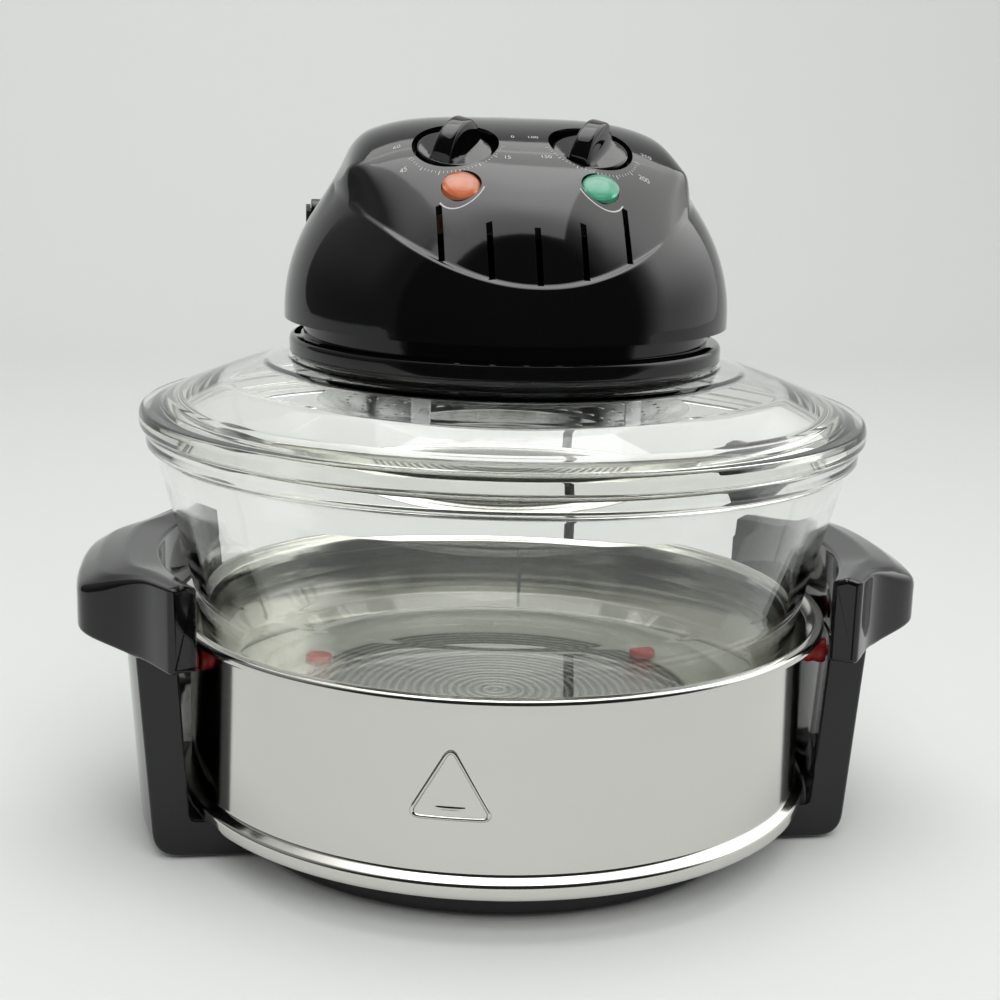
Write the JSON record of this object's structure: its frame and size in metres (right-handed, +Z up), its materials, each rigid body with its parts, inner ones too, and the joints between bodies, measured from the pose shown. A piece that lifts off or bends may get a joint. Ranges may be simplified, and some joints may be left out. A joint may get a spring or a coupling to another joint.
{
  "type": "halogen air fryer oven",
  "caption": "Round countertop convection oven: glass bowl in a steel shell on a black cradle, lift-off glass lid with motor head, dials, folding handle and tied cord.",
  "frame": {"origin": "on the table under the middle of the bowl", "axes": "+Z up, front with the dials towards -Y, grips along X"},
  "size_m": [0.398, 0.3785, 0.3387],
  "materials": {
    "black_gloss": "high gloss black moulding",
    "black_satin": "satin black moulding",
    "steel": "polished stainless sheet",
    "bright_metal": "bright sheet metal",
    "dark_metal": "laminated steel and heating wire",
    "copper": "enamelled copper winding, given as brass",
    "glass": "clear tempered glass",
    "quartz": "clear quartz glass",
    "silicone": "red silicone",
    "rubber": "black rubber",
    "ceramic": "unglazed white ceramic",
    "amber": "translucent amber lens",
    "green": "translucent green lens",
    "pale_plastic": "pale technical plastic"
  },
  "bodies": {
    "stand": {"cradle": "black_gloss", "base_cover": "black_satin", "foot_left_front": "rubber", "foot_left_rear": "rubber", "foot_right_front": "rubber", "foot_right_rear": "rubber", "steel_shell": "steel", "floor_plate": "steel", "pad_right": "silicone", "pad_left": "silicone", "pad_front": "silicone", "spacer_right_front": "silicone", "spacer_right_rear": "silicone", "spacer_left_rear": "silicone", "spacer_left_front": "silicone", "grip_right": "black_gloss", "grip_left": "black_gloss"},
    "bowl": {"glass_bowl": "glass"},
    "head": {"amber_lamp": "quartz", "amber_lens": "amber", "bracket_front_left": "bright_metal", "bracket_front_right": "bright_metal", "bracket_rear_left": "bright_metal", "bracket_rear_right": "bright_metal", "cord_hank": "rubber", "cord_lead": "rubber", "cord_tail": "rubber", "cord_tie": "black_satin", "glass_lid": "glass", "green_lamp": "quartz", "green_lens": "green", "handle_pivot_left": "bright_metal", "handle_pivot_right": "bright_metal", "head_flange": "black_gloss", "heater_coil": "dark_metal", "heater_guard": "bright_metal", "heater_holder_left": "ceramic", "heater_holder_right": "ceramic", "lid_gasket": "rubber", "motor_core": "dark_metal", "motor_winding": "copper", "plug_body": "rubber", "plug_pin_left": "bright_metal", "plug_pin_right": "bright_metal", "quartz_tube": "quartz", "reflector": "bright_metal", "safety_switch": "pale_plastic", "strain_relief": "rubber", "thermostat_unit": "pale_plastic", "timer_unit": "pale_plastic", "top_cover": "black_gloss"},
    "timer_dial": {"timer_knob": "black_gloss", "timer_shaft": "bright_metal"},
    "thermostat_dial": {"thermostat_knob": "black_gloss", "thermostat_shaft": "bright_metal"},
    "rotor": {"fan_shaft": "bright_metal", "hot_fan": "bright_metal", "cooling_fan": "black_satin", "fan_nut": "bright_metal"},
    "handle": {"carry_handle": "black_gloss"}
  },
  "joints": [
    {"name": "bowl_lift", "type": "slide", "parent": "stand", "child": "bowl", "axis": [0, 0, 1], "range_m": [0, 0.2]},
    {"name": "head_lift", "type": "slide", "parent": "bowl", "child": "head", "axis": [0, 0, 1], "range_m": [0, 0.15]},
    {"name": "timer_turn", "type": "hinge", "parent": "head", "child": "timer_dial", "pos_m": [-0.03, -0.0398, 0.32742], "axis": [0, 0.4226, -0.9063], "range_deg": [0, 300]},
    {"name": "thermostat_turn", "type": "hinge", "parent": "head", "child": "thermostat_dial", "pos_m": [0.03, -0.0398, 0.32742], "axis": [0, 0.4226, -0.9063], "range_deg": [0, 270]},
    {"name": "rotor_spin", "type": "hinge", "parent": "head", "child": "rotor", "pos_m": [0, 0, 0.24], "axis": [0, 0, 1], "continuous": true},
    {"name": "handle_fold", "type": "hinge", "parent": "head", "child": "handle", "pos_m": [0, 0.05, 0.29], "axis": [1, 0, 0], "range_deg": [0, 100]}
  ]
}
